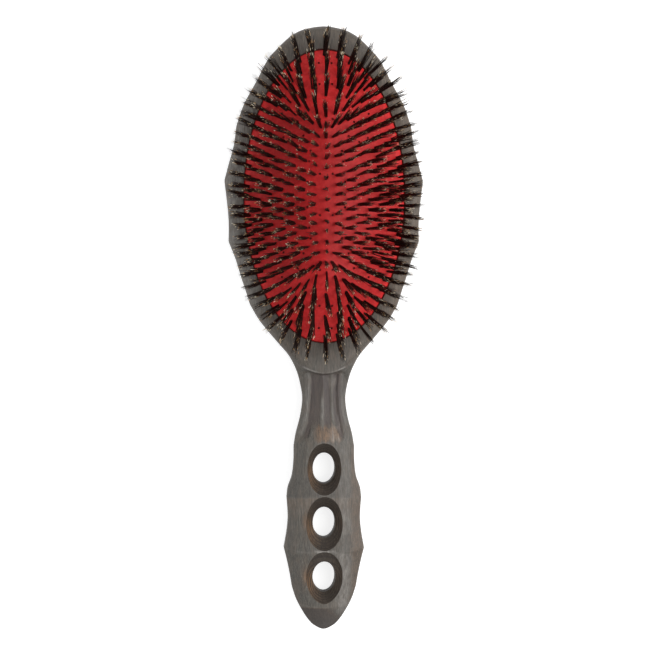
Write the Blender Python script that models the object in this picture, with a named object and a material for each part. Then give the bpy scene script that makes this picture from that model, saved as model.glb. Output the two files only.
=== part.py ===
"""Wooden cushion brush, lying on its back with the bristles up.

Metres, +Z up. The origin is the middle of the flat land on the back of the head, under the middle of the
cushion. +Y points to the top of the head, and -Y to the tip of the handle.
"""

import math

import bmesh
import bpy
from mathutils import Vector

MM = 0.001

# Clearance between pieces that touch on the real brush
GAP = 0.3 * MM
# How far a cutter runs past the surface that it cuts
OVERRUN = 3.0 * MM
# Points nearer than this are one point
MERGE_DISTANCE = 0.001 * MM

# Oval opening for the cushion, and the rim of wood round it
PAD_HALF_WIDTH = 31.9 * MM
PAD_HALF_LENGTH = 57.9 * MM
RIM_SIDE = 7.6 * MM
RIM_TOP = 9.5 * MM
RIM_FOOT = 12.7 * MM

# Head, neck and handle, seen from the front
WIDEST_Y = 6.4 * MM
NECK_RUN = 9.2 * MM
NECK_HALF_WIDTH = 8.6 * MM
NECK_TO_GRIP = 59.9 * MM
GRIP_HALF_WIDTH = 16.0 * MM
GRIP_TO_TIP = 33.0 * MM

# Thickness: heights of the front and of the back above the surface that the brush lies on
FACE_HEIGHT = 14.0 * MM
NECK_FRONT = 11.2 * MM
HANDLE_FRONT = 13.5 * MM
TIP_FRONT = 9.5 * MM
NECK_BACK = 2.0 * MM
TIP_BACK = 2.5 * MM
TIP_TAPER = 25.0 * MM
NECK_TAPER = 25.0 * MM
STEP_RUN = 2.0 * MM
HEAD_BACK_TAPER = 16.0 * MM

# Rounding of the wood's edges: how far each reaches in from the side, and its share of the thickness
HEAD_FRONT_ROUND = 4.0 * MM
HANDLE_FRONT_ROUND = 8.0 * MM
BACK_ROUND = 12.0 * MM
FRONT_ROUND_SHARE = 0.25
BACK_ROUND_SHARE = 0.42

# Pocket in the face, with the groove that takes the cushion's flange
LIP_THICKNESS = 2.2 * MM
GROOVE_HEIGHT = 2.4 * MM
GROOVE_REACH = 2.0 * MM
POCKET_DEPTH = 7.0 * MM

# Finger holes, countersunk from both sides
HOLE_COUNT = 3
HOLE_PITCH = 21.7 * MM
HOLE_HALF_WIDTH = 4.25 * MM
HOLE_HALF_LENGTH = 6.0 * MM
COUNTERSINK_HALF_WIDTH = 7.2 * MM
COUNTERSINK_HALF_LENGTH = 10.4 * MM
COUNTERSINK_DEPTH = 4.0 * MM
GRIP_TO_MIDDLE_HOLE = 10.0 * MM

# Rubber cushion
PAD_EDGE_DROP = 0.4 * MM
CROWN_HEIGHT = 10.5 * MM
CROWN_POWER = 1.8
PLY_THICKNESS = 0.8 * MM
CARCASS_WALL = 1.4 * MM
WAIST_DRAW = 0.8 * MM
SKIRT_WALL = 1.8 * MM

# Bristle tufts
TUFT_LENGTH = 17.0 * MM
TUFT_ROOT = 0.4 * MM
TUFT_FOOT_RADIUS = 0.5 * MM
TUFT_TIP_RADIUS = 0.8 * MM
TUFT_SPACING = 4.1 * MM
FIRST_RING_INSET = 2.0 * MM
RING_PITCH = 4.28 * MM
CENTRE_ROW_ROOM = 4.0 * MM

# Facet counts
STATION_COUNT = 78
ACROSS_COUNT = 7
CURVE_STEPS = 12
OPENING_SIDES = 64
HOLE_SIDES = 32
PAD_SIDES = 40
TUFT_SIDES = 3
ARC_STEPS = 720

# Outline of the head and handle between its named places, as (share of the way, share of the width).
# The crests and hollows are the ends of the carved plates on the back.
HEAD_TOP_SHARES = [
    (0.11, 0.955),
    (0.22, 0.908),
    (0.355, 0.886),
    (0.49, 0.810),
    (0.63, 0.690),
    (0.785, 0.580),
    (0.845, 0.489),
    (0.902, 0.395),
    (0.946, 0.311),
    (0.980, 0.197),
]
HEAD_FOOT_SHARES = [
    (0.140, 0.955),
    (0.215, 0.944),
    (0.280, 0.948),
    (0.361, 0.858),
    (0.444, 0.786),
    (0.503, 0.731),
    (0.570, 0.673),
    (0.639, 0.560),
    (0.695, 0.437),
    (0.751, 0.304),
    (0.805, 0.175),
    (0.861, 0.091),
    (0.916, 0.039),
]
GRIP_SHARES = [
    (0.12, 0.838),
    (0.21, 0.784),
    (0.337, 0.845),
    (0.40, 0.784),
    (0.48, 0.568),
    (0.58, 0.473),
    (0.68, 0.459),
    (0.76, 0.351),
    (0.88, 0.108),
]
TIP_SHARES = [
    (0.16, 0.919),
    (0.324, 0.850),
    (0.470, 0.800),
    (0.615, 0.700),
    (0.760, 0.544),
    (0.870, 0.400),
    (0.950, 0.245),
]

# Sizes that follow from those above
HEAD_HALF_WIDTH = PAD_HALF_WIDTH + RIM_SIDE
HEAD_TOP_Y = PAD_HALF_LENGTH + RIM_TOP
HEAD_FOOT_Y = -PAD_HALF_LENGTH - RIM_FOOT
NECK_Y = HEAD_FOOT_Y - NECK_RUN
GRIP_Y = NECK_Y - NECK_TO_GRIP
TIP_Y = GRIP_Y - GRIP_TO_TIP
MIDDLE_HOLE_Y = GRIP_Y + GRIP_TO_MIDDLE_HOLE
PAD_EDGE_Z = FACE_HEIGHT - PAD_EDGE_DROP

# Heights below are measured from the cushion's edge, as the cushion and the tufts are placed by it
GROOVE_TOP = PAD_EDGE_DROP - LIP_THICKNESS
GROOVE_BOTTOM = GROOVE_TOP - GROOVE_HEIGHT
FLANGE_TOP = GROOVE_TOP - GAP
FLANGE_BOTTOM = GROOVE_BOTTOM + GAP

# Colours, linear
STAINED_BEECH = (0.120, 0.104, 0.091, 1.0)
RED_RUBBER = (0.480, 0.024, 0.023, 1.0)
DARK_BRISTLE = (0.022, 0.013, 0.010, 1.0)


def clear_scene():
    """Removes whatever the open file holds."""
    for thing in list(bpy.data.objects):
        bpy.data.objects.remove(thing)


def material(name, colour, roughness):
    """A plain finish in one colour."""
    made = bpy.data.materials.new(name)
    made.use_nodes = True
    shader = made.node_tree.nodes["Principled BSDF"]
    shader.inputs["Base Color"].default_value = colour
    shader.inputs["Roughness"].default_value = roughness
    shader.inputs["Metallic"].default_value = 0.0
    made.diffuse_color = colour
    return made


def mesh_object(name, shape, finish):
    """Turns a bmesh into a named object, with its faces pointing out."""
    bmesh.ops.recalc_face_normals(shape, faces=shape.faces[:])
    mesh = bpy.data.meshes.new(name)
    shape.to_mesh(mesh)
    shape.free()
    mesh.shade_smooth()
    mesh.set_sharp_from_angle(angle=math.radians(35.0))
    mesh.materials.append(finish)
    made = bpy.data.objects.new(name, mesh)
    bpy.context.scene.collection.objects.link(made)
    return made


def add_boolean(body, tool, operation):
    """Cuts or joins body with tool, which is then kept out of the model."""
    step = body.modifiers.new(tool.name, "BOOLEAN")
    step.operation = operation
    step.solver = "EXACT"
    step.object = tool
    tool.hide_render = True
    tool.display_type = "WIRE"


def loft(rings, closed):
    """Skins rings of points that have equal counts. A closed loft joins the last ring to the first, and an
    open one gets a flat cap at each end."""
    shape = bmesh.new()
    loops = [[shape.verts.new(point) for point in ring] for ring in rings]
    sides = len(loops[0])
    pairs = list(zip(loops, loops[1:]))
    if closed:
        pairs.append((loops[-1], loops[0]))
    for low, high in pairs:
        for i in range(sides):
            after = (i + 1) % sides
            shape.faces.new((low[i], low[after], high[after], high[i]))
    if not closed:
        shape.faces.new(loops[0])
        shape.faces.new(loops[-1])
    return shape


def oval(half_width, half_length, height, sides, middle_y=0.0):
    """Points round a level ellipse."""
    turns = [math.tau * i / sides for i in range(sides)]
    return [
        Vector((half_width * math.cos(t), middle_y + half_length * math.sin(t), height)) for t in turns
    ]


def stretch(start, end, shares):
    """Outline points from start towards end, which isn't included. Each is (half width, y)."""
    points = [Vector(start)]
    for along, width in shares:
        y = start[1] + (end[1] - start[1]) * along
        points.append(Vector((end[0] + (start[0] - end[0]) * width, y)))
    return points


def outline_points():
    """The right half of the outline, from the tip of the handle to the top of the head."""
    tip = (0.0, TIP_Y)
    grip = (GRIP_HALF_WIDTH, GRIP_Y)
    neck = (NECK_HALF_WIDTH, NECK_Y)
    widest = (HEAD_HALF_WIDTH, WIDEST_Y)
    top = (0.0, HEAD_TOP_Y)
    handle = stretch(grip, tip, TIP_SHARES)[:0:-1]
    shaft = stretch(grip, neck, GRIP_SHARES)
    lower = stretch(widest, neck, HEAD_FOOT_SHARES)[:0:-1]
    upper = stretch(widest, top, HEAD_TOP_SHARES)
    return [Vector(tip)] + handle + shaft + [Vector(neck)] + lower + upper + [Vector(top)]


def smooth_curve(points):
    """A smooth curve through points, square to the middle plane at both of its ends."""
    first = Vector((-points[1].x, points[1].y))
    last = Vector((-points[-2].x, points[-2].y))
    guide = [first] + points + [last]
    spans = [(b - a).length for a, b in zip(guide, guide[1:])]
    slopes = [
        (guide[i + 1] - guide[i - 1]) / (spans[i - 1] + spans[i]) for i in range(1, len(guide) - 1)
    ]
    curve = []
    for i in range(len(points) - 1):
        span = spans[i + 1]
        for k in range(CURVE_STEPS):
            t = k / CURVE_STEPS
            rise = t * t * (3.0 - 2.0 * t)
            leave = t * (1.0 - t) ** 2
            arrive = t * t * (t - 1.0)
            point = points[i].lerp(points[i + 1], rise)
            curve.append(point + (slopes[i] * leave + slopes[i + 1] * arrive) * span)
    return curve + [points[-1]]


def travelled(curve):
    """Distance along a curve at each of its points."""
    distances = [0.0]
    for a, b in zip(curve, curve[1:]):
        distances.append(distances[-1] + (b - a).length)
    return distances


def places_along(curve, shares):
    """Where rising shares of a curve's length fall, each as a point's number and the fraction past it."""
    distances = travelled(curve)
    places = []
    at = 0
    for share in shares:
        wanted = distances[-1] * share
        while distances[at + 1] < wanted:
            at += 1
        places.append(at + (wanted - distances[at]) / (distances[at + 1] - distances[at]))
    return places


def point_at(curve, place):
    """The point of a curve at a place that places_along gave."""
    at = min(int(place), len(curve) - 2)
    return curve[at].lerp(curve[at + 1], place - at)


def evenly_spaced(curve, count):
    """count + 1 points at equal distances along a curve."""
    places = places_along(curve, [i / count for i in range(count)])
    return [point_at(curve, place) for place in places] + [curve[-1]]


def level(y, line):
    """Height at y on a line of (y, height) places, easing from each to the next."""
    for (low_y, low), (high_y, high) in zip(line, line[1:]):
        if y <= high_y:
            share = max(0.0, (y - low_y) / (high_y - low_y))
            return low + (high - low) * share * share * (3.0 - 2.0 * share)
    return line[-1][1]


def front_line():
    """Height of the front along the middle, from the tip to the top."""
    return [
        (TIP_Y, TIP_FRONT),
        (TIP_Y + TIP_TAPER, HANDLE_FRONT),
        (NECK_Y - NECK_TAPER, HANDLE_FRONT),
        (NECK_Y, NECK_FRONT),
        (HEAD_FOOT_Y - STEP_RUN, NECK_FRONT),
        (HEAD_FOOT_Y + STEP_RUN, FACE_HEIGHT),
        (HEAD_TOP_Y, FACE_HEIGHT),
    ]


def back_line():
    """Height of the back along the middle, from the tip to the top. The head and the grip lie flat."""
    return [
        (TIP_Y, TIP_BACK),
        (TIP_Y + TIP_TAPER, 0.0),
        (NECK_Y - NECK_TAPER, 0.0),
        (NECK_Y, NECK_BACK),
        (HEAD_FOOT_Y, NECK_BACK),
        (HEAD_FOOT_Y + HEAD_BACK_TAPER, 0.0),
        (HEAD_TOP_Y, 0.0),
    ]


def rounding(inset, reach):
    """Share of an edge's rounding left at inset from the side: 1 at the side, 0 past reach."""
    if inset >= reach:
        return 0.0
    return 1.0 - math.sqrt(1.0 - (1.0 - inset / reach) ** 2)


def wooden_blank(finish):
    """The carved body before it is cut: sections across the outline, skinned from tip to top."""
    outline = evenly_spaced(smooth_curve(outline_points()), STATION_COUNT)
    front_reach_line = [
        (NECK_Y, HANDLE_FRONT_ROUND),
        (HEAD_FOOT_Y + STEP_RUN, HEAD_FRONT_ROUND),
        (HEAD_TOP_Y, HEAD_FRONT_ROUND),
    ]
    turns = [0.5 * math.pi * j / ACROSS_COUNT for j in range(-ACROSS_COUNT, ACROSS_COUNT + 1)]
    shape = bmesh.new()
    fronts = []
    backs = []
    for i, (half_width, y) in enumerate(outline):
        along = outline[min(i + 1, STATION_COUNT)] - outline[max(i - 1, 0)]
        steepness = abs(along.y) / along.length
        front = level(y, front_line())
        back = level(y, back_line())
        reach = level(y, front_reach_line)
        front_row = []
        back_row = []
        for turn in turns:
            x = half_width * math.sin(turn)
            inset = (half_width - abs(x)) * steepness
            front_cut = (front - back) * FRONT_ROUND_SHARE * rounding(inset, reach)
            back_cut = (front - back) * BACK_ROUND_SHARE * rounding(inset, BACK_ROUND)
            front_row.append(shape.verts.new((x, y, front - front_cut)))
            back_row.append(shape.verts.new((x, y, back + back_cut)))
        fronts.append(front_row)
        backs.append(back_row)
    for i in range(STATION_COUNT):
        for j in range(2 * ACROSS_COUNT):
            for rows in (fronts, backs):
                shape.faces.new((rows[i][j], rows[i][j + 1], rows[i + 1][j + 1], rows[i + 1][j]))
        for j in (0, -1):
            shape.faces.new((fronts[i][j], fronts[i + 1][j], backs[i + 1][j], backs[i][j]))
    bmesh.ops.remove_doubles(shape, verts=shape.verts[:], dist=MERGE_DISTANCE)
    return mesh_object("wooden_body", shape, finish)


def pocket_cutter(finish):
    """The pocket for the cushion, with its undercut groove."""
    groove_top = FACE_HEIGHT - LIP_THICKNESS
    groove_bottom = groove_top - GROOVE_HEIGHT
    profile = [
        (0.0, FACE_HEIGHT + OVERRUN),
        (0.0, groove_top),
        (GROOVE_REACH, groove_top),
        (GROOVE_REACH, groove_bottom),
        (0.0, groove_bottom),
        (0.0, FACE_HEIGHT - POCKET_DEPTH),
    ]
    rings = [
        oval(PAD_HALF_WIDTH + out, PAD_HALF_LENGTH + out, height, OPENING_SIDES)
        for out, height in profile
    ]
    return mesh_object("pocket_cutter", loft(rings, closed=False), finish)


def hole_cutter(number, finish):
    """One finger hole: straight walls in the middle, and a countersink that opens on each face."""
    middle_y = MIDDLE_HOLE_Y + HOLE_PITCH * (0.5 * (HOLE_COUNT + 1) - number)
    widen = (COUNTERSINK_HALF_WIDTH - HOLE_HALF_WIDTH) * OVERRUN / COUNTERSINK_DEPTH
    lengthen = (COUNTERSINK_HALF_LENGTH - HOLE_HALF_LENGTH) * OVERRUN / COUNTERSINK_DEPTH
    outer = (COUNTERSINK_HALF_WIDTH + widen, COUNTERSINK_HALF_LENGTH + lengthen)
    inner = (HOLE_HALF_WIDTH, HOLE_HALF_LENGTH)
    profile = [
        (outer, HANDLE_FRONT + OVERRUN),
        (inner, HANDLE_FRONT - COUNTERSINK_DEPTH),
        (inner, COUNTERSINK_DEPTH),
        (outer, -OVERRUN),
    ]
    rings = [oval(*half_sizes, height, HOLE_SIDES, middle_y) for half_sizes, height in profile]
    return mesh_object(f"hole_cutter_{number}", loft(rings, closed=False), finish)


def make_wooden_body():
    """Head and handle, carved from one piece of beech."""
    beech = material("stained_beech", STAINED_BEECH, 0.62)
    body = wooden_blank(beech)
    add_boolean(body, pocket_cutter(beech), "DIFFERENCE")
    for number in range(1, HOLE_COUNT + 1):
        add_boolean(body, hole_cutter(number, beech), "DIFFERENCE")
    return body


def crown(inset):
    """Height of the cushion's top over its edge, at inset from the opening."""
    return CROWN_HEIGHT * (1.0 - (1.0 - inset / PAD_HALF_WIDTH) ** CROWN_POWER)


def crown_ring(inset, drop):
    """Points round the cushion at inset from the opening, drop below its top."""
    return pad_ring(inset, crown(inset) - drop)


def pad_ring(inset, height):
    """Points round the cushion at inset from the opening, at a height over its edge."""
    return oval(PAD_HALF_WIDTH - inset, PAD_HALF_LENGTH - inset, height, PAD_SIDES)


def crown_normal(inset, turn):
    """The way out of the cushion's top, where the tuft at this turn of the ring at inset stands."""
    rise = CROWN_POWER * CROWN_HEIGHT / PAD_HALF_WIDTH
    slope = rise * (1.0 - inset / PAD_HALF_WIDTH) ** (CROWN_POWER - 1.0)
    along = Vector(
        (
            (inset - PAD_HALF_WIDTH) * math.sin(turn),
            (PAD_HALF_LENGTH - inset) * math.cos(turn),
            0.0,
        )
    )
    inward = Vector((-math.cos(turn), -math.sin(turn), slope))
    return along.cross(inward).normalized()


def ring_insets():
    """How far each ring of tufts lies in from the opening. The innermost leaves room for the centre row."""
    count = 1 + int((PAD_HALF_WIDTH - FIRST_RING_INSET - CENTRE_ROW_ROOM) / RING_PITCH)
    return [FIRST_RING_INSET + RING_PITCH * i for i in range(count)]


def ring_edges():
    """Insets between the bands that carry the rings: the cushion's side, then one line inside each ring."""
    return [GAP] + [inset + 0.5 * RING_PITCH for inset in ring_insets()]


def make_cushion():
    """The rubber membrane under its top ply, with its drawn-in waist and its flange in the groove."""
    edges = ring_edges()
    outer_drop = PLY_THICKNESS + GAP
    inner_drop = outer_drop + CARCASS_WALL
    skirt = WAIST_DRAW + SKIRT_WALL
    rings = [crown_ring(inset, outer_drop) for inset in reversed(edges)]
    rings += [
        pad_ring(WAIST_DRAW, FLANGE_TOP),
        pad_ring(GAP - GROOVE_REACH, FLANGE_TOP),
        pad_ring(GAP - GROOVE_REACH, FLANGE_BOTTOM),
        pad_ring(skirt, FLANGE_BOTTOM),
        pad_ring(skirt, FLANGE_TOP),
    ]
    rings += [crown_ring(inset, inner_drop) for inset in edges[1:]]
    rubber = material("red_rubber", RED_RUBBER, 0.42)
    cushion = mesh_object("cushion", loft(rings, closed=False), rubber)
    cushion.location.z = PAD_EDGE_Z
    return cushion


def ring_tufts(number, inset):
    """(Foot, direction) of each tuft of an oval ring, counted round from its top. Every second ring has no
    tuft at its two ends, and lies half a space off its neighbours at the sides."""
    line = oval(PAD_HALF_WIDTH - inset, PAD_HALF_LENGTH - inset, crown(inset), ARC_STEPS)
    quarter = ARC_STEPS // 4
    line = line[quarter:] + line[: quarter + 1]
    ends_bare = number % 2 == 0
    over_fours = 2 if ends_bare else 0
    count = 4 * round((travelled(line)[-1] / TUFT_SPACING - over_fours) / 4) + over_fours
    kept = [k for k in range(count) if not ends_bare or k % (count // 2)]
    places = places_along(line, [k / count for k in kept])
    turns = [math.tau * (p + quarter) / ARC_STEPS for p in places]
    return [(point_at(line, p), crown_normal(inset, t)) for p, t in zip(places, turns)]


def row_tufts():
    """(Foot, direction) of each tuft of the straight centre row."""
    half_row = PAD_HALF_LENGTH - PAD_HALF_WIDTH
    spaces = round(2.0 * half_row / TUFT_SPACING)
    up = Vector((0.0, 0.0, 1.0))
    return [
        (Vector((0.0, half_row * (2.0 * k / spaces - 1.0), crown(ring_edges()[-1]))), up)
        for k in range(spaces + 1)
    ]


def bristle_strands(name, tufts, finish):
    """One three-sided strand for each tuft, widening to its tip as the bristles fan out."""
    shape = bmesh.new()
    for foot, direction in tufts:
        side = direction.orthogonal().normalized()
        other = direction.cross(side)
        root = foot - direction * TUFT_ROOT
        tip = foot + direction * TUFT_LENGTH
        loops = []
        for middle, radius in ((root, TUFT_FOOT_RADIUS), (tip, TUFT_TIP_RADIUS)):
            turns = [math.tau * k / TUFT_SIDES for k in range(TUFT_SIDES)]
            loops.append(
                [
                    shape.verts.new(middle + (side * math.cos(t) + other * math.sin(t)) * radius)
                    for t in turns
                ]
            )
        low, high = loops
        for k in range(TUFT_SIDES):
            after = (k + 1) % TUFT_SIDES
            shape.faces.new((low[k], low[after], high[after], high[k]))
        shape.faces.new(low)
        shape.faces.new(high)
    return mesh_object(name, shape, finish)


def ring_band(outer, inner):
    """A band of the cushion's top ply, between two insets."""
    rings = [
        crown_ring(outer, 0.0),
        crown_ring(inner, 0.0),
        crown_ring(inner, PLY_THICKNESS),
        crown_ring(outer, PLY_THICKNESS),
    ]
    return loft(rings, closed=True)


def centre_band(outer):
    """The narrow oval of the top ply that carries the centre row."""
    return loft([crown_ring(outer, 0.0), crown_ring(outer, PLY_THICKNESS)], closed=False)


def make_tuft_rings():
    """The tufts, ring by ring from the cushion's edge and then the centre row, each group fused to its band
    of the top ply. They all go up and down together, so they hang on one empty."""
    bristle = material("dark_bristle", DARK_BRISTLE, 0.5)
    field = bpy.data.objects.new("tuft_field", None)
    field.location.z = PAD_EDGE_Z
    bpy.context.scene.collection.objects.link(field)
    edges = ring_edges()
    half_gap = 0.5 * GAP
    groups = []
    for number, inset in enumerate(ring_insets(), 1):
        outer = edges[number - 1] + (half_gap if number > 1 else 0.0)
        band = ring_band(outer, edges[number] - half_gap)
        groups.append((f"tuft_ring_{number}", band, ring_tufts(number, inset)))
    groups.append(("centre_tufts", centre_band(edges[-1] + half_gap), row_tufts()))
    total = 0
    for name, band, tufts in groups:
        carrier = mesh_object(name, band, bristle)
        strands = bristle_strands(f"{name}_strands", tufts, bristle)
        add_boolean(carrier, strands, "UNION")
        carrier.parent = field
        strands.parent = field
        total += len(tufts)
    print("tufts:", total)


def main():
    clear_scene()
    make_wooden_body()
    make_cushion()
    make_tuft_rings()


main()
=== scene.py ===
"""Wooden cushion brush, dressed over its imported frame. Metres, +Z up, the brush lies on its back."""

import math

import bmesh
import bpy
import numpy as np
from mathutils import Matrix


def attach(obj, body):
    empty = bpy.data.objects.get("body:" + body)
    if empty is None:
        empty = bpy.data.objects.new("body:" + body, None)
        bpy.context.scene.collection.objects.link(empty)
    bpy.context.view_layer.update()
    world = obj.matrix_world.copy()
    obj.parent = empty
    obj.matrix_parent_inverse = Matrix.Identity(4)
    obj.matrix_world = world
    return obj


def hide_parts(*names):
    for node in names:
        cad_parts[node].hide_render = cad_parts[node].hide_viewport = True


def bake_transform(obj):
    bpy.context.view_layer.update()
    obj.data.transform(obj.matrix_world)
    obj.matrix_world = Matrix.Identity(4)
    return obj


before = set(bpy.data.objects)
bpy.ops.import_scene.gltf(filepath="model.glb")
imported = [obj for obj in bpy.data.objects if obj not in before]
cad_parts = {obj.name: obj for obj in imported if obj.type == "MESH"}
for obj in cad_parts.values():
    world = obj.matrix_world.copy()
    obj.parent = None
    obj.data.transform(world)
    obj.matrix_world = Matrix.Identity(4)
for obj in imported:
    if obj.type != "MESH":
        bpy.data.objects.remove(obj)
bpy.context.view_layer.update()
MM = 0.001  # Sizes are written in mm, and meshes are in metres

# ---------------------------------------------------------------------------------------------------------
# Wooden body. Head and handle are carved from one piece of beech and stained grey-brown. The carver cuts
# hollows between crests, flutes the neck, and bores three countersunk finger holes and the cushion's pocket.

# Right-hand outline from the tip of the handle to the top of the head: y, half width, and 1 at a carved crest
OUTLINE = [
    (-172.7, 0, 0), (-171.0, 3.92, 0), (-168.4, 6.4, 0), (-164.8, 8.7, 0), (-160.0, 11.2, 0),
    (-155.2, 12.8, 1), (-150.4, 13.6, 0), (-145.0, 14.7, 0), (-139.7, 16.0, 1), (-132.5, 14.8, 0),
    (-127.1, 14.4, 0), (-119.5, 14.85, 1), (-115.7, 14.4, 0), (-110.9, 12.8, 0), (-105.0, 12.1, 0),
    (-99.0, 12.0, 1), (-94.2, 11.2, 0), (-87.0, 9.4, 0), (-79.8, 8.6, 0), (-72.6, 9.81, 0),
    (-67.8, 11.41, 0), (-63.0, 14.01, 0), (-58.3, 17.99, 0), (-53.5, 22.1, 0), (-48.7, 25.9, 0),
    (-42.7, 29.4, 1), (-37.0, 31.19, 0), (-31.9, 32.89, 0), (-24.7, 35.11, 0), (-17.7, 37.89, 1),
    (-12.1, 37.77, 0), (-5.7, 38.11, 0), (6.4, 39.5, 1), (13.1, 37.72, 0), (19.8, 35.87, 0),
    (28.1, 34.7, 1), (36.3, 31.8, 0), (44.8, 27.2, 0), (54.3, 22.2, 0), (57.9, 19.1, 0),
    (61.4, 15.6, 0), (64.1, 12.28, 0), (66.2, 7.78, 0), (67.4, 0, 0),
]
TIP_Y, NECK_Y, HEAD_FOOT_Y, TOP_Y = -172.7, -79.8, -70.6, 67.4
# Ridges across the front: y at the middle, how far the ends run up, and how far that bend reaches each way
RIDGES = [(-163.6, 1.2, 9.0, 12.0), (-141.6, 1.9, 12.0, 12.0), (-119.5, 0.0, 1.0, 1.0), (-70.2, 5.0, 14.0, 26.0)]
# The front dips between these ends along the handle, and the back between crests that lie at these y
SCOOP_ENDS = [-163.6, -141.6, -119.5, -99.0]
SCOOP_DEPTH = 0.55
BACK_CRESTS = [-155.2, -139.7, -119.5, -99.0, -42.7, -17.7, 6.4, 28.1, 54.3]
BACK_SCOOP_DEPTH = 0.7
# Distance from one section to the next at a few y, and the number of faces across
SECTION_GAPS = [
    (-172.7, 0.04), (-171.5, 0.15), (-168.0, 0.36), (-66.0, 0.36), (-60.0, 0.75), (55.0, 0.75),
    (64.0, 0.35), (66.9, 0.12), (67.4, 0.04),
]
ACROSS = 72
# Half width and half length of the cushion's pocket, of a finger hole, and of its countersink at the face
POCKET_HALF = (31.9, 57.9)
HOLE_YS = (-108.0, -129.7, -151.4)
HOLE_HALF = (4.45, 6.15)
SINK_HALF = (7.2, 10.4)
# How much wider and longer than that each countersink is, its shift along the brush, and its slope
SINK_GROWTH = [(0.1, 0, 0, 0), (0.45, 0.20, -0.15, 0), (0.75, 0.90, 0.25, 0.095)]
# How far the two outer flutes of the neck run from its middle: y, to the left and to the right
FLUTE_RUN = [
    (-97.5, 9.0, 7.8), (-95.0, 8.0, 7.0), (-90.0, 6.5, 5.8), (-85.0, 5.8, 5.0), (-77.0, 5.2, 4.6), (-70.0, 5.2, 5.0),
]
FLUTE_DEPTH = 0.85
# Across the neck, with the outer flutes at -1 and 1: place, depth, and tone, below 0 in a hollow. The tone is partly
# wear and stain and partly painted light and shade
FLUTES = [
    (-1.55, 0.0, 0.0), (-1.22, 0.0, 0.9), (-1.0, 1.0, -1.0), (-0.86, 0.85, -0.95), (-0.32, 0.40, -0.80),
    (-0.22, 0.0, 0.8), (-0.12, 0.0, 0.8), (0.0, 0.50, -1.5), (0.40, 0.52, -1.3), (0.55, 0.22, 0.4),
    (0.64, 0.22, 0.4), (0.74, 0.50, -1.2), (0.90, 0.62, -1.3), (1.0, 1.0, -1.5), (1.18, 0.0, 0.5), (1.5, 0.0, 0.0),
]


def outline_curve():
    """The outline as many short steps, in mm. A crest keeps its corner, and all other points are smooth."""
    points = np.array([(w, y) for y, w, _ in OUTLINE], float)
    guide = np.vstack([points[1] * (-1, 1), points, points[-2] * (-1, 1)])
    steps = np.diff(guide, axis=0)
    spans = np.linalg.norm(steps, axis=1)
    curve = []
    for i in range(len(points) - 1):
        slopes = []
        for at in (i, i + 1):
            if OUTLINE[at][2]:
                slopes.append(steps[i + 1] / spans[i + 1])
            else:
                slopes.append((guide[at + 2] - guide[at]) / (spans[at] + spans[at + 1]))
        for t in np.arange(16) / 16:
            eased = t * t * (3 - 2 * t)
            bend = slopes[0] * t * (1 - t) ** 2 + slopes[1] * t * t * (t - 1)
            curve.append(points[i] + (points[i + 1] - points[i]) * eased + bend * spans[i + 1])
    curve.append(points[-1])
    return np.array(curve)


EDGE = outline_curve()
EDGE_RUN = np.gradient(EDGE, axis=0)
EDGE_STEEPNESS = np.abs(EDGE_RUN[:, 1]) / np.linalg.norm(EDGE_RUN, axis=1)


def half_width(y):
    """Half the width of the wood, in mm."""
    return np.interp(y, EDGE[:, 1], EDGE[:, 0])


def inset(x, y):
    """Distance in from the side of the wood, in mm."""
    return (half_width(y) - np.abs(x)) * np.interp(y, EDGE[:, 1], EDGE_STEEPNESS)


def ease(value, low, high):
    """0 below low and 1 above high, smooth between them."""
    share = np.clip((value - low) / (high - low), 0, 1)
    return share * share * (3 - 2 * share)


def between(value, low, full, fade, high):
    """Rises from 0 at low to 1 at full, and falls again from fade to 0 at high."""
    return ease(value, low, full) * (1 - ease(value, fade, high))


def level(y, line):
    """Height on a line of (y, height) places, easing from each to the next."""
    height = np.full(np.shape(y), float(line[0][1]))
    for (y0, z0), (y1, z1) in zip(line, line[1:]):
        height = height + (z1 - z0) * ease(y, y0, y1)
    return height


def stations():
    """y of each section at the middle, close together where the carving is fine, and on every ridge."""
    ys = [TIP_Y]
    while ys[-1] < TOP_Y:
        ys.append(ys[-1] + float(np.interp(ys[-1], *zip(*SECTION_GAPS))))
    ys = TIP_Y + (np.array(ys) - TIP_Y) * (TOP_Y - TIP_Y) / (ys[-1] - TIP_Y)
    # Sections lie on the top crest of the handle too, and on both sides of the lip below the head
    for y in [ridge[0] for ridge in RIDGES] + [-99.0, -70.0, -70.9]:
        ys[np.argmin(np.abs(ys - y))] = y
    return np.sort(ys)


def ridge_bend(s):
    """How far a section's sides run up from its middle, so that sections lie along the ridges."""
    bend = np.zeros_like(s)
    for y, rise, below, above in RIDGES:
        bend += rise * np.clip(np.where(s < y, 1 - (y - s) / below, 1 - (s - y) / above), 0, 1)
    return bend


def flutes(x, y):
    """Depth of the neck's flutes, and each place's tone: above 0 on a crest and below 0 in a hollow, partly wear and
    stain and partly painted light and shade.
    """
    run_y, left, right = zip(*FLUTE_RUN)
    places, depths, tones = zip(*FLUTES)
    at = (x - 0.2) / np.where(x < 0.2, np.interp(y, run_y, left), np.interp(y, run_y, right))
    depth = np.interp(at, places, depths)
    tone = np.interp(at, places, tones)
    # Painted shade darkens the middle crest towards the head. Outside the right flute, painted shade and painted light
    # make a dark and a pale line
    tone = np.where(np.abs(at + 0.17) < 0.16, tone - 1.8 * ease(y, -82.0, -74.5), tone)
    tone = np.where(np.abs(at - 1.19) < 0.17, np.minimum(tone, -1.1 * ease(y, -94.0, -87.0)), tone)
    tone = np.where(np.abs(at - 1.46) < 0.10, np.maximum(tone, 0.5 * ease(y, -94.0, -87.0)), tone)
    strength = between(y, -97.8, -93.5, -71.0, -69.0)
    strength = np.where(np.abs(at) < 0.8, strength * ease(y, -94.0, -88.0), strength)
    return FLUTE_DEPTH * depth * strength, tone * strength


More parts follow.
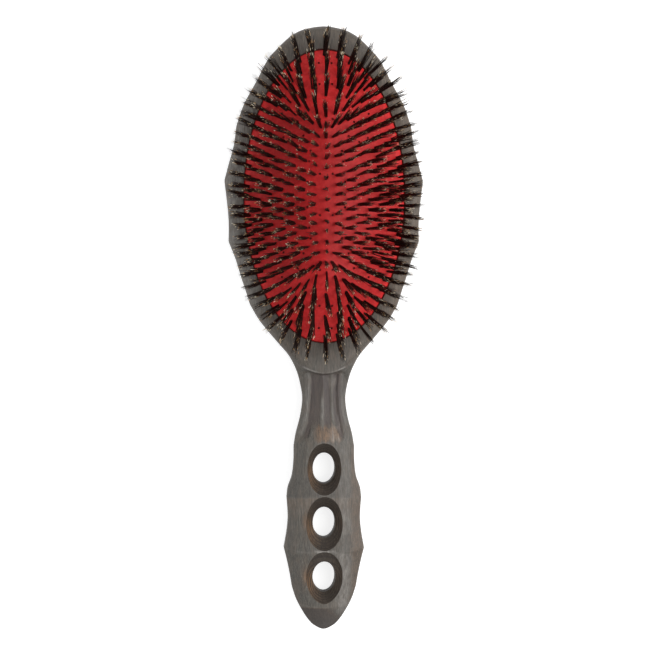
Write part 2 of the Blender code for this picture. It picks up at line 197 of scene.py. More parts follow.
def scoop(y, low, high, depth):
    """A hollow from low to high along the brush, with its depth in the middle."""
    share = np.clip((y - low) / (high - low), 0, 1)
    return depth * 4 * share * (1 - share)


def rounding(edge, reach):
    """1 at the side of the wood, and 0 where its rounded edge ends."""
    return 1 - np.sqrt(1 - np.clip(1 - edge / reach, 0, 1) ** 2)


def front_height(x, y, s):
    """Height of the carved front. s is the y at which the section crosses the middle."""
    along = level(s, [(-163.6, 11.8), (-147.7, 13.5), (NECK_Y - 25, 13.5), (NECK_Y, 11.4), (-74.6, 11.4)])
    along = along - 2.2 * np.clip((-163.6 - s) / 9.1, 0, 1)
    for low, high in zip(SCOOP_ENDS, SCOOP_ENDS[1:]):
        along = along - scoop(s, low, high, SCOOP_DEPTH)
    # The neck steps up to the head, steeply in the middle and softly at the sides
    soft = 0.7 + 9.0 * np.clip((np.abs(x) - 5.5) / 5.0, 0, 1.6) ** 2
    face = 14.0 - 0.8 * (1 - ease(s, -74.6, -71.0))
    along = along + (face - along) * np.clip((s + 70.2 + soft) / soft, 0, 1) ** 0.8
    # The head's edge is rounded, and the handle's is cut in two facets
    edge = inset(x, y)
    head = ease(s, -72.6, -66.0)
    facets = np.interp(edge, [0, 4.0, 8.8], [0.95, 0.24, 0])
    cut = (along - back_level(y)) * 0.25 * (head * rounding(edge, 4.0) + (1 - head) * facets)
    return along - cut - flutes(x, y)[0]


def back_level(y):
    """Height of the back along its middle. The neck's is raised, and the head's and handle's rest on the table."""
    return level(y, [(TIP_Y, 2.5), (TIP_Y + 25, 0), (NECK_Y - 25, 0), (NECK_Y, 2), (HEAD_FOOT_Y, 2), (-54.6, 0)])


def back_height(x, y, u):
    """Height of the back. Hollows run in from the sides between the crests, and leave a flat land."""
    cut = 0.42 * (13.8 - back_level(y)) * rounding(inset(x, y), 12.0)
    hollow = np.zeros_like(y)
    for low, high in zip(BACK_CRESTS, BACK_CRESTS[1:]):
        if high - low < 30:
            hollow += scoop(y + 6.0 * (1 - u * u), low, high, BACK_SCOOP_DEPTH)
    return back_level(y) + cut + hollow * ease(np.abs(u), 0.25, 0.7)


def carved_blank():
    """The closed body before it is cut: front, back and side walls over one grid of sections."""
    s = stations()
    turns = np.linspace(-math.pi / 2, math.pi / 2, ACROSS + 1)
    u = np.sin(turns)[None, :] + 0 * s[:, None]
    s = s[:, None] + 0 * u
    y = np.clip(s + ridge_bend(s) * u * u, TIP_Y, TOP_Y)
    x = u * half_width(y)
    points = [np.stack([x, y, front_height(x, y, s)], -1), np.stack([x, y, back_height(x, y, u)], -1)]
    for share in (0.3, 0.6):
        for column in (0, -1):
            wall = points[0][:, column] * (1 - share) + points[1][:, column] * share
            points.append(wall[:, None, :])
    shape = bmesh.new()
    made = [[[shape.verts.new(p * MM) for p in row] for row in grid] for grid in points]
    front, back, left_high, right_high, left_low, right_low = made
    for i in range(len(front) - 1):
        for j in range(ACROSS):
            for grid in (front, back):
                shape.faces.new((grid[i][j], grid[i][j + 1], grid[i + 1][j + 1], grid[i + 1][j]))
        for column, high, low in ((0, left_high, left_low), (-1, right_high, right_low)):
            here, after = ([front[k][column], high[k][0], low[k][0], back[k][column]] for k in (i, i + 1))
            for k in range(3):
                shape.faces.new((here[k], here[k + 1], after[k + 1], after[k]))
    bmesh.ops.remove_doubles(shape, verts=shape.verts[:], dist=0.001 * MM)
    return mesh_object("wooden_body_carved", shape)


def add_object(name, data):
    """An object in the scene, at the origin."""
    made = bpy.data.objects.new(name, data)
    bpy.context.scene.collection.objects.link(made)
    return made


def mesh_object(name, shape):
    """Turns a bmesh into an object, its faces pointing out."""
    bmesh.ops.recalc_face_normals(shape, faces=shape.faces[:])
    mesh = bpy.data.meshes.new(name)
    shape.to_mesh(mesh)
    shape.free()
    return add_object(name, mesh)


def skin(shape, loops):
    """Faces between each closed loop of points and the next."""
    for low, high in zip(loops, loops[1:]):
        for k in range(len(low)):
            after = (k + 1) % len(low)
            shape.faces.new((low[k], low[after], high[after], high[k]))


def oval_cutter(name, profile, middle_y, sides):
    """A solid through ellipses, each (half width, half length, height, shift along the brush, slope) in mm."""
    shape = bmesh.new()
    loops = []
    for across, along, height, shift, slope in profile:
        turns = [math.tau * i / sides for i in range(sides)]
        places = [(across * math.cos(t), shift + along * math.sin(t)) for t in turns]
        loop = [(px * MM, (middle_y + py) * MM, (height + slope * py) * MM) for px, py in places]
        loops.append([shape.verts.new(p) for p in loop])
    skin(shape, loops)
    shape.faces.new(loops[0])
    shape.faces.new(loops[-1])
    return mesh_object(name, shape)


def bake(made):
    """Makes an object's mesh what its modifiers show, and drops them."""
    mesh = bpy.data.meshes.new_from_object(made.evaluated_get(bpy.context.evaluated_depsgraph_get()))
    made.modifiers.clear()
    old = made.data
    made.data = mesh
    bpy.data.meshes.remove(old)


def cut_away(body, cutters, keep_finish=False):
    """Cuts the cutters out of the body for good, and removes them. The cut walls may keep the cutters' finish."""
    for cutter in cutters:
        step = body.modifiers.new("cut", "BOOLEAN")
        step.operation = "DIFFERENCE"
        step.solver = "EXACT"
        step.object = cutter
        if keep_finish:
            step.material_mode = "TRANSFER"
    bake(body)
    for cutter in cutters:
        bpy.data.objects.remove(cutter)


def pocket_profile():
    """Half sizes and heights down the pocket's wall, with the undercut groove for the flange."""
    # How far out of the pocket's oval, and how high
    wall = [(1.2, 15.5), (0.3, 14.0), (0.0, 13.7), (0.0, 11.8), (2.0, 11.8), (2.0, 9.4), (0.0, 9.4), (0.0, 7.0)]
    return [(POCKET_HALF[0] + out, POCKET_HALF[1] + out, z, 0, 0) for out, z in wall]


def hole_profile(wider, longer, shift, slope):
    """Half sizes and heights down a finger hole: countersunk from both faces, and sloped as the front falls."""
    # Height, how far from the hole's size to the sink's, and how much of the growth and of the slope is there
    rows = []
    for height, share, grown, steeper in ((16.5, 7 / 4, 1, 1), (11.6, 0.6, 1, 1.35), (9.8, 0.06, 0, 3.5)):
        across, along = (h + (s - h) * share for s, h in zip(SINK_HALF, HOLE_HALF))
        rows.append((across + wider * grown, along + longer * grown, height, shift * grown, slope * steeper))
    rows.append((*HOLE_HALF, 9.2 - 16 * slope, 0, slope * 3.5))
    rows.append((*HOLE_HALF, 4.3, 0, 0))
    rows.append((HOLE_HALF[0] + 0.25, HOLE_HALF[1] + 0.25, 3.7, 0, 0))
    return rows + [(SINK_HALF[0] + 2.1, SINK_HALF[1] + 3.2, -3.0, 0, 0)]


def feed(tree, node, inputs):
    """Sets inputs of a node to values, or links them to the outputs of other nodes."""
    for name, value in inputs.items():
        if isinstance(value, bpy.types.NodeSocket):
            tree.links.new(value, node.inputs[name])
        else:
            node.inputs[name].default_value = value


def add_node(tree, kind, settings=None, inputs=None):
    """Adds a node with its settings and inputs."""
    made = tree.nodes.new(kind)
    for name, value in (settings or {}).items():
        setattr(made, name, value)
    feed(tree, made, inputs or {})
    return made


def new_finish(name):
    """A material with a bare Principled shader, and its node tree."""
    made = bpy.data.materials.new(name)
    made.use_nodes = True
    tree = made.node_tree
    return made, tree, tree.nodes["Principled BSDF"]


def texture(tree, kind, stretch, settings=None, **inputs):
    """A texture from 0 to 1 on Object coordinates, with so many features to a metre each way."""
    coordinates = add_node(tree, "ShaderNodeTexCoord").outputs["Object"]
    place = add_node(tree, "ShaderNodeMapping", None, {"Vector": coordinates, "Scale": stretch})
    return add_node(tree, kind, settings, {"Vector": place.outputs["Vector"], **inputs}).outputs["Fac"]


def noise(tree, stretch, **inputs):
    """Cloudy noise. Fewer features one way draw its clouds out into streaks that way."""
    return texture(tree, "ShaderNodeTexNoise", stretch, **inputs)


def stored(tree, name):
    """A number stored at each point of the mesh."""
    return add_node(tree, "ShaderNodeAttribute", {"attribute_name": name}).outputs["Fac"]


def maths(tree, operation, *values):
    """A Math node over one, two or three numbers."""
    return add_node(tree, "ShaderNodeMath", {"operation": operation}, dict(enumerate(values))).outputs[0]


def ramp(tree, value, low, high):
    """0 below low and 1 above high, smooth between them."""
    inputs = {"Value": value, "From Min": low, "From Max": high}
    return add_node(tree, "ShaderNodeMapRange", {"interpolation_type": "SMOOTHSTEP"}, inputs).outputs["Result"]


def mix(tree, share, low, high, kind="MIX"):
    """One colour blended towards another."""
    settings = {"data_type": "RGBA", "blend_type": kind}
    return add_node(tree, "ShaderNodeMix", settings, {0: share, 6: low, 7: high}).outputs[2]


# Colours of the stained beech
STAIN_DARK, STAIN_PALE, STAIN_WARM = (0.030, 0.027, 0.022, 1), (0.098, 0.090, 0.076, 1), (0.078, 0.062, 0.048, 1)
AMBER_WOOD = (0.190, 0.106, 0.054, 1)
# Pale wood for rubbed places, and for painted highlights
PALE_WEAR_AND_HIGHLIGHT = (0.240, 0.222, 0.204, 1)
LAYER_LINE = (0.040, 0.031, 0.026, 1)
PORE_LINE = (0.034, 0.028, 0.024, 1)
# Dark colours for sooty stain, and for painted shade
SHADE_AND_SOOT_BROWN, SHADE_AND_SOOT_MAUVE = (0.024, 0.019, 0.016, 1), (0.030, 0.020, 0.019, 1)
# Stored at each point: how pale (wear and painted highlight), how dark (soot and painted shade), how amber, how bright
# a cut wall (rubbed, and painted light), and how mauve
WEAR_AND_LIGHT = ("rub_and_highlight", "soot_and_shade", "amber", "lit", "mauve")


def beech_finish(name, cut):
    """Stained beech: streaks and pores along the length, growth layers, rubbed crests, amber patches, painted
    highlights and shade.

    A cut wall shows the growth layers more. It is dark, partly stain and partly painted shade, and paler and more amber
    where it faces the right-hand lamp, partly rubbed by fingers and partly painted light."""
    made, tree, shader = new_finish(name)
    streaks = noise(tree, (1500, 60, 1500), Detail=6, Roughness=0.66)
    flecks = noise(tree, (400, 34, 400), Detail=4, Roughness=0.68)
    layers = texture(
        tree, "ShaderNodeTexWave", (70, 22, 1500), {"bands_direction": "Z"},
        **{"Scale": 0.26, "Distortion": 2.4, "Detail": 3, "Detail Scale": 0.35},
    )
    streak = ramp(tree, streaks, 0.39, 0.62)
    cloud = ramp(tree, noise(tree, (95, 42, 95), Detail=4, Roughness=0.6), 0.36, 0.66)
    layer = ramp(tree, layers, 0.55, 0.95)
    pore = ramp(tree, noise(tree, (3800, 480, 3800), Detail=2), 0.60, 0.70)
    tone = {mark: stored(tree, mark) for mark in WEAR_AND_LIGHT}
    # A cut wall is darkened as painted shade in the countersinks, and made paler where it faces the right-hand lamp:
    # partly rubbed wood, partly painted light
    if cut:
        tone["rub_and_highlight"] = 0.0
        tone["soot_and_shade"] = maths(tree, "SUBTRACT", 0.67, maths(tree, "MULTIPLY", tone["lit"], 0.60))
        tone["amber"] = maths(tree, "ADD", 0.14, maths(tree, "MULTIPLY", tone["lit"], 0.66))
        feed(tree, shader, {"Specular IOR Level": 0.22})
    else:
        pale_mottling = maths(tree, "SUBTRACT", 1.55, maths(tree, "MULTIPLY", cloud, 1.1))
        tone["rub_and_highlight"] = maths(tree, "MULTIPLY", tone["rub_and_highlight"], pale_mottling)

    colour = mix(tree, streak, STAIN_DARK, STAIN_PALE)
    colour = mix(tree, maths(tree, "MULTIPLY", cloud, 0.60), colour, STAIN_WARM)
    amber = maths(tree, "MULTIPLY", tone["amber"], ramp(tree, streaks, 0.30, 0.58))
    colour = mix(tree, amber, colour, AMBER_WOOD)
    colour = mix(tree, maths(tree, "MULTIPLY", layer, 0.95 if cut else 0.14), colour, LAYER_LINE)
    # Pale marks are rubbed wood and painted highlights; dark marks are sooty wood and painted shade
    colour = mix(tree, tone["rub_and_highlight"], colour, PALE_WEAR_AND_HIGHLIGHT)
    colour = mix(tree, tone["soot_and_shade"], colour, mix(tree, tone["mauve"], SHADE_AND_SOOT_BROWN, SHADE_AND_SOOT_MAUVE))
    fleck = maths(tree, "ADD", 0.73, maths(tree, "MULTIPLY", ramp(tree, flecks, 0.35, 0.65), 0.54))
    colour = mix(tree, 1.0, colour, fleck, "MULTIPLY")
    colour = mix(tree, maths(tree, "MULTIPLY", pore, 0.5), colour, PORE_LINE)
    relief = maths(tree, "SUBTRACT", streaks, maths(tree, "MULTIPLY", pore, 0.6))
    bump = add_node(tree, "ShaderNodeBump", None, {"Height": relief, "Strength": 0.5, "Distance": 0.00012})
    rough = maths(tree, "MULTIPLY_ADD", streak, 0.14, 0.46)
    feed(tree, shader, {"Base Color": colour, "Roughness": rough, "Normal": bump.outputs["Normal"]})
    return made


# Points above this height are on the front
FRONT_Z = 7


def near(distance, reach):
    """1 on a line and 0 well off it."""
    return np.exp(-((distance / reach) ** 2))


def ridge_wear_and_highlight(x, y, z):
    """Ridges are rubbed pale, most of all the bridge between the lower two holes. The lip below the head gets a bright
    line along its edge, a painted highlight.
    """
    u = np.clip(x / np.maximum(half_width(y), 0.01), -1, 1)
    front = z > FRONT_Z
    # The bright line along the lip's edge is a painted highlight
    lip = near(y + 70.05 - 5.0 * u * u, 0.36) * (1 - ease(np.abs(x), 7.0, 9.5)) * (z > 13.0)
    bridge = near(y + 141.0 - 0.02 * x * x, 0.40) * np.clip(1.15 - (x / 4.2) ** 2, 0, 1) * (z > 12)
    rays = near(y + 140.9 + 0.42 * (x - 3.5), 0.35) * between(x, 3.2, 4.5, 8.0, 11.0) * (z > 12)
    nick = near(x - 2.5, 0.45) * near(y + 141.0, 0.9) * front
    crests = [0.10 * near(y - middle - rise * u * u, 0.40) * front for middle, rise, _, _ in RIDGES]
    return {"rub_and_highlight": np.maximum.reduce(crests + [0.80 * lip, 0.8 * bridge + 0.35 * rays]), "soot_and_shade": 0.40 * nick}


def neck_wear_and_light(x, y, z):
    """Flutes are mauve and dark in their hollows and pale on their crests: partly stain and wear, partly painted shade
    and light. A wedge below the lip is paler, a painted reflection.
    """
    front = z > FRONT_Z
    # The flutes' tones are partly wear and stain and partly painted light and shade
    tone = flutes(x, y)[1] * front
    mauve = np.clip(-tone, 0, 1)
    head_end = between(y, -88, -76, -71.6, -70.2) * front
    soot_and_shade = np.maximum(0.70 * mauve, head_end * (0.34 * (x > 5.6) + 0.12 * (x < -5.6)))
    soot_and_shade = soot_and_shade + 0.08 * head_end * (np.abs(x) < 5.2)
    # The paler wedge below the lip is a painted reflection
    wedge = 1 - ease(np.abs(x - 3.1) - 0.29 * (y + 78.6), -0.3, 0.3)
    wedge = wedge * between(y, -78.6, -77.8, -72.2, -71.6) * front
    rub_and_highlight = np.maximum(0.34 * np.clip(tone, 0, 1), 0.10 * wedge)
    return {"rub_and_highlight": rub_and_highlight, "soot_and_shade": soot_and_shade * (1 - 0.70 * wedge), "amber": 0.16 * mauve, "mauve": mauve}


def handle_wear_and_sheen(x, y, z):
    """Right of its middle the handle is paler: partly rubbed by a hand, partly a painted sheen from the right-hand
    lamp. Its right edge is browner, and so is a field below a ridge.
    """
    front = z > FRONT_Z
    handle = between(y, -170, -160, -104, -92) * front
    # How much paler it is changes at the ridges
    right = between(x, 2.5, 7.5, 7.5, 13.0) * handle
    right = right * np.interp(y, [-142.0, -141.5, -134.5, -133.5, -119.6, -119.4], [0.40, 0.05, 0.05, 0.26, 0.26, 0.15])
    outer = ease(x, 9.5, 12.0) * handle
    above = between(y, -119.6, -119.3, -114, -106) * front
    below = between(y, -130, -121, -119.7, -119.4) * front
    corner = ease(-134.5 + 0.27 * (x - 7.6) - y, -0.3, 0.3) * ease(y + 141.4, -0.3, 0.3) * ease(x, 7.6, 8.2) * front
    return {
        "rub_and_highlight": np.maximum(right, 0.08 * below),
        "soot_and_shade": np.maximum.reduce([0.20 * outer, 0.18 * above, 0.16 * corner]),
        "amber": np.maximum(0.30 * outer, 0.18 * below),
    }


def tip_wear(x, y, z):
    """Below the last ridge the tip is dark and brown, but for what lies right of a slanting stroke."""
    tip = (1 - ease(y, -164.0, -163.4)) * (z > FRONT_Z)
    stroke = x - 0.6 - (-163.7 - y)
    brown = 0.24 + 0.30 * near(y + 166, 3.0) + 0.16 * (1 - ease(x, -4, 0))
    return {
        "soot_and_shade": np.interp(stroke, [-6, -1, 1.5, 3], [0.92, 0.86, 0.50, 0.10]) * tip,
        "amber": brown * (1 - ease(stroke, -1, 2)) * tip,
    }


def patch_wear(x, y, z):
    """Above the first hole bare amber wood shows through, in streaks along the grain."""
    streaky = 0.5 + 0.28 * np.sin(2.3 * x + 0.4) + 0.22 * np.sin(5.9 * x + 0.6 * y)
    foot, top = -97.6 + 1.6 * (1 - streaky), -92.4 + 2.4 * streaky
    patch = between(y, foot - 1.2, foot + 0.8, top - 1.0, top + 1.0) * (z > FRONT_Z)
    patch = patch * between(x, -5.2, -1.2, 5.8, 8.2) * (0.45 + 0.55 * streaky)
    return {
        "rub_and_highlight": 0.60 * patch * ease(x, 0.0, 4.0) * streaky,
        "soot_and_shade": 0.24 * patch * (1 - ease(x, -3.0, 0.0)),
        "amber": 0.95 * patch,
    }


def hole_wear_and_light(x, y, z):
    """Each countersink's left wall, which faces the right-hand lamp, is brightest and its right wall a little bright:
    partly rubbed bare by fingers, partly painted light. Fingers also rub the wood beside it.
    """
    front = z > FRONT_Z
    lit, rub_and_highlight, amber = np.zeros((3, len(x)))
    for middle in HOLE_YS:
        reach = np.hypot(x / SINK_HALF[0], (y - middle) / SINK_HALF[1])
        turn = np.arctan2(y - middle, x)
        # How bright each wall is: partly rubbed by fingers and partly painted light from the right-hand lamp
        rubbed_and_lit = np.clip(np.cos(turn - math.radians(200)), 0, 1) ** 2 + 0.34 * np.clip(np.cos(turn), 0, 1) ** 2
        lit = np.where(reach < 1.25, rubbed_and_lit, lit)
        smear = near(x + SINK_HALF[0] + 0.3, 1.1) * near(y - middle - 0.8, 3.2) * (middle < -110) * front
        amber = np.maximum(amber, 0.75 * smear)
        rub_and_highlight = np.maximum(rub_and_highlight, 0.12 * near((reach - 1.0) * 8, 0.30) * front * (z > 11.5))
    return {"rub_and_highlight": rub_and_highlight, "amber": amber, "lit": lit}


def rim_wear(x, y, z):
    """Sides are rubbed all round. The head's rim is paler on its left, and darker and browner on its right."""
    rim = ease(y, -70, -60) * (z > FRONT_Z)
    return {
        "rub_and_highlight": np.maximum(0.14 * near(inset(x, y), 0.5), 0.42 * (1 - ease(x, -36, -14)) * rim),
        "soot_and_shade": np.maximum(0.24 * ease(x, 20, 34), 0.16 * ease(y, 46, 58)) * rim,
        "amber": (0.12 + 0.22 * ease(x, 16, 30)) * rim,
    }


def mark_wear_and_light(wood):
    """Stores at each point of the wood, from 0 to 1, its wear and stain and its painted light and shade."""
    co = np.empty(len(wood.data.vertices) * 3)
    wood.data.vertices.foreach_get("co", co)
    x, y, z = co.reshape(-1, 3).T / MM
    marks = {mark: np.zeros_like(x) for mark in WEAR_AND_LIGHT}
    for place in (ridge_wear_and_highlight, neck_wear_and_light, handle_wear_and_sheen, tip_wear, patch_wear, hole_wear_and_light, rim_wear):
        for mark, values in place(x, y, z).items():
            marks[mark] = np.maximum(marks[mark], values)
    # The pocket's own walls are painted dark: painted shade in the gap round the cushion
    in_pocket = (np.hypot(x / POCKET_HALF[0], y / POCKET_HALF[1]) < 1.03) & (z < 13.6)
    marks["soot_and_shade"] = np.where(in_pocket, 0.75, marks["soot_and_shade"])
    for mark, values in marks.items():
        wood.data.attributes.new(mark, "FLOAT", "POINT").data.foreach_set("value", values.astype(np.float32))


wood = carved_blank()
wood.data.materials.append(beech_finish("stained_beech_carved", False))
cut_away(wood, [oval_cutter("pocket", pocket_profile(), 0, 160)])
holes = [oval_cutter("finger_hole", hole_profile(*grown), y, 72) for y, grown in zip(HOLE_YS, SINK_GROWTH)]
hole_finish = beech_finish("beech_holes_stain_and_shade", True)
for hole in holes:
    hole.data.materials.append(hole_finish)
cut_away(wood, holes, keep_finish=True)
wood.data.shade_smooth()
wood.data.set_sharp_from_angle(angle=math.radians(32))
mark_wear_and_light(wood)
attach(wood, "brush_body")
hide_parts("wooden_body")

# ---------------------------------------------------------------------------------------------------------
# Cushion. One membrane of red rubber, moulded with a crown and a drawn-in skirt. Its flange snaps into the
# pocket's groove, and its crown carries the tufts, so the skirt gives when the tufts are pressed.

# Height of the crown's edge, how far the crown rises from there, and its power. A higher one makes its top
# flatter. PAD_AROUND is the number of points round the oval.
PAD_EDGE_Z = 13.6
CROWN_HEIGHT = 10.5
CROWN_POWER = 1.8
PAD_AROUND = 288
PAD_WALL = 1.6
# From the crown's edge round the rolled edge, down the skirt and round the flange: inset and height
PAD_SIDE = [
    (0.36, 13.70), (0.30, 13.45), (0.34, 13.05), (0.55, 12.5), (0.80, 11.9), (0.80, 11.5),
    (-1.7, 11.5), (-1.7, 9.7), (2.6, 9.7), (2.6, 11.5), (2.4, 12.0),
]
# Bare pin holes in a quarter of the cushion, as (x, y) in mm
PIN_HOLES = [
    (2.5, 8.0), (2.5, 29.2), (2.5, 43.2), (2.5, 52.0), (6.1, 17.0), (6.6, 12.9), (7.3, 4.9), (7.2, 0.0),
    (8.8, 22.8), (13.0, 20.7), (16.5, 22.4), (11.0, 28.5), (14.7, 0.0), (17.0, 32.0),
]
# A pin hole's radius, and how high over the rubber: it opens above it and ends blind below it
PIN_HOLE_PROFILE = [(0.56, 0.5), (0.48, -0.25), (0.14, -1.0)]
PIN_HOLE_SIDES = 10


def crown(inset_mm):
    """Height of the cushion over its edge, in mm, at an inset from the opening."""
    share = np.clip(1 - inset_mm / POCKET_HALF[0], 0, 1)
    return CROWN_HEIGHT * (1 - share ** CROWN_POWER)


def crown_inset(x, y):
    """Inset of the nested oval that passes through a point."""
    low, high = 0.0, POCKET_HALF[0] - 0.01
    for _ in range(40):
        middle = 0.5 * (low + high)
        inside = (x / (POCKET_HALF[0] - middle)) ** 2 + (y / (POCKET_HALF[1] - middle)) ** 2 < 1
        low, high = (middle, high) if inside else (low, middle)
    return low


def membrane():
    """The rubber as one closed skin: crown, rolled edge, skirt, flange, and the inside back to the crown."""
    steps = 1 - (1 - np.linspace(0, 1, 46)) ** 1.15
    outer = [(i, PAD_EDGE_Z + crown(i)) for i in POCKET_HALF[0] * steps[::-1] if i > 0.45]
    inner = [(i + PAD_WALL, z - PAD_WALL) for i, z in outer[::-1] if 1.2 < i + PAD_WALL < 31.6]
    turns = np.arange(PAD_AROUND) * math.tau / PAD_AROUND
    shape = bmesh.new()
    loops = []
    for i, z in outer + PAD_SIDE + inner:
        across, along = max(POCKET_HALF[0] - i, 0.0), POCKET_HALF[1] - i
        loops.append([shape.verts.new((across * math.cos(t) * MM, along * math.sin(t) * MM, z * MM)) for t in turns])
    skin(shape, loops)
    # The last loop, a narrow oval inside the crown, is closed straight across
    last = loops[-1]
    quarter = PAD_AROUND // 4
    for k in range(quarter, 3 * quarter):
        corners = (last[k], last[k + 1], last[(2 * quarter - k - 1) % PAD_AROUND], last[(2 * quarter - k) % PAD_AROUND])
        shape.faces.new([v for n, v in enumerate(corners) if v not in corners[:n]])
    bmesh.ops.remove_doubles(shape, verts=shape.verts[:], dist=0.002 * MM)
    return mesh_object("rubber_cushion", shape)


def pin_hole_cutters():
    """Small blind cones at the bare pin holes, as one cutter."""
    shape = bmesh.new()
    places = {(sx * x, sy * y) for x, y in PIN_HOLES for sx in (-1, 1) for sy in (-1, 1)}
    turns = [math.tau * k / PIN_HOLE_SIDES for k in range(PIN_HOLE_SIDES)]
    for x, y in sorted(places):
        z = PAD_EDGE_Z + float(crown(crown_inset(x, y)))
        loops = []
        for radius, over in PIN_HOLE_PROFILE:
            loop = [(x + radius * math.cos(t), y + radius * math.sin(t), z + over) for t in turns]
            loops.append([shape.verts.new([c * MM for c in point]) for point in loop])
        skin(shape, loops)
        shape.faces.new(loops[0])
        shape.faces.new(loops[-1])
    return mesh_object("pin_holes", shape)


# Colours of the rubber, and the darker red inside a pin hole, which is painted shade
RUBBER_RED, RUBBER_BRIGHT, RUBBER_BLOOM = (0.640, 0.022, 0.024, 1), (0.720, 0.035, 0.036, 1), (0.480, 0.016, 0.017, 1)
PIT_SHADE_DARK, PIT_SHADE_RED = (0.240, 0.011, 0.012, 1), (0.320, 0.015, 0.016, 1)
GRAIN_SCALE = (2600, 2600, 2600)


def rubber_finish():
    """Moulded red rubber: satin, faintly mottled, with a slight bloom."""
    made, tree, shader = new_finish("red_rubber_moulded")
    grains = noise(tree, GRAIN_SCALE, Detail=3)
    cloud = ramp(tree, noise(tree, (160, 160, 160), Detail=4), 0.35, 0.68)
    colour = mix(tree, cloud, RUBBER_RED, RUBBER_BRIGHT)
    colour = mix(tree, maths(tree, "MULTIPLY", ramp(tree, grains, 0.4, 0.7), 0.16), colour, RUBBER_BLOOM)
    bump = add_node(tree, "ShaderNodeBump", None, {"Height": grains, "Strength": 0.25, "Distance": 0.00006})
    rough = maths(tree, "MULTIPLY_ADD", cloud, 0.10, 0.38)
    feed(tree, shader, {
        "Base Color": colour, "Roughness": rough, "Specular IOR Level": 0.14, "Normal": bump.outputs["Normal"],
    })
    return made


def pit_shade_finish():
    """The inside of a bare pin hole, darker than the rubber: painted shade."""
    made, tree, shader = new_finish("pin_hole_painted_shade")
    feed(tree, shader, {"Base Color": mix(tree, noise(tree, GRAIN_SCALE), PIT_SHADE_DARK, PIT_SHADE_RED), "Roughness": 0.8})
    return made


pad = membrane()
pad.data.materials.append(rubber_finish())
pits = pin_hole_cutters()
pits.data.materials.append(pit_shade_finish())
cut_away(pad, [pits], keep_finish=True)
pad.data.shade_smooth()
pad.data.set_sharp_from_angle(angle=math.radians(40))
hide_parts("cushion")
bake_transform(pad)

# ---------------------------------------------------------------------------------------------------------
# Tufts. Each is a small bundle of dark bristles, drawn through the rubber and held by a knot behind it. They
# stand square to the crown in seven nested ovals and a centre row, and their cut tips are pale: partly the hairs' own
# colour, partly painted glints.

# From one ring to the next, and from one tuft to the next along a ring
RING_STEP = 4.28
RING_INSETS = [2.0 + RING_STEP * i for i in range(7)]
TUFT_SPACING = 4.1
ROW_TUFTS, ROW_HALF = 14, 26.0
# The outer ring stands in by this much, but at the two sides, so that its hairs clear the wooden lip
LIP_ROOM = 0.65
# All but the topmost tufts lean a little towards the handle. In the innermost rings, those on the left and
# in the middle lean to the left too.
HANDLE_LEAN, LEFT_LEAN = 0.022, 0.045
# How much further the tufts at the two ends of the oval lean out, at three insets
END_SPLAY_INSETS, TOP_SPLAY, FOOT_SPLAY = [2, 10.6, 19], [0.20, 0.19, 0.26], [0.21, 0.22, 0.30]
# Hairs in a tuft, how wide it stands and how far it fans, in the outermost ring and in the centre row
OUTER_TUFT, CENTRE_TUFT = (58, 0.76, 0.054), (40, 0.60, 0.040)
# Tufts between the sides and the ends of the oval are thinner by this share
CORNER_THINNING = 0.26


def ring_turns(number, across, along):
    """Where the tufts of an oval ring stand, as turns from its top. Every second ring has none at its ends."""
    t = np.linspace(0, math.tau, 2881)
    line = np.stack([-across * np.sin(t), along * np.cos(t)], -1)
    steps = np.linalg.norm(np.diff(line, axis=0), axis=1)
    ends_bare = number % 2 == 0
    extra = 2 if ends_bare else 0
    count = 4 * round((np.cumsum(steps)[-1] / TUFT_SPACING - extra) / 4) + extra
    kept = [k for k in range(count) if not ends_bare or k % (count // 2)]
    closeness = 1 / (1 + 0.38 * ease(np.abs(line[1:, 1]) / along, 0.80, 0.99))
    run = np.concatenate([[0], np.cumsum(steps * closeness)])
    return np.interp([run[-1] * k / count for k in kept], run, t)


def unit(vector):
    """The same direction with a length of 1."""
    return vector / np.linalg.norm(vector)


def tuft_lean(foot, turn, tangent, ring_inset):
    """Which way a tuft of a ring points: square to the crown, and further out at the ends and the corners."""
    slope = CROWN_POWER * CROWN_HEIGHT / POCKET_HALF[0] * (1 - ring_inset / POCKET_HALF[0]) ** (CROWN_POWER - 1)
    lean = unit(np.cross(np.array([math.sin(turn), -math.cos(turn), slope]), tangent))
    lean = lean if lean[2] > 0 else -lean
    # Near the two ends the inner rings stand as on a dome, so that their tufts fan and don't all point one way
    flat = math.hypot(lean[0], lean[1])
    dome = unit(np.array([foot[0] / POCKET_HALF[0] ** 2, 1.6 * foot[1] / POCKET_HALF[1] ** 2])) * flat
    endward = abs(math.cos(turn))
    share = float(ease(ring_inset, 0, 12) * ease(endward, 0.82, 0.96))
    lean[:2] = lean[:2] * (1 - share) + dome * share
    end = math.copysign(float(ease(abs(foot[1]), 12, 34) * ease(endward, 0.6, 0.96)), foot[1])
    splay = np.interp(ring_inset, END_SPLAY_INSETS, TOP_SPLAY if end > 0 else FOOT_SPLAY)
    lean[1] = lean[1] * 1.10 + end * float(splay)
    lean[1] -= HANDLE_LEAN * (1 - float(ease(foot[1], 28, 50)))
    lean[0] += float(ease(ring_inset, 15, 27)) * (LEFT_LEAN * float(np.clip(foot[0] / 4, -1, 1)) - LEFT_LEAN)
    corner = float(between(endward, 0.25, 0.5, 0.8, 0.95))
    corner *= float(np.interp(ring_inset, [2, 19], [1, 0]))
    lean[0] += math.copysign((0.12 if foot[1] > 0 else 0.16) * corner, foot[0])
    lean[1] += 0.03 * corner * (foot[1] < 0)
    return unit(lean)


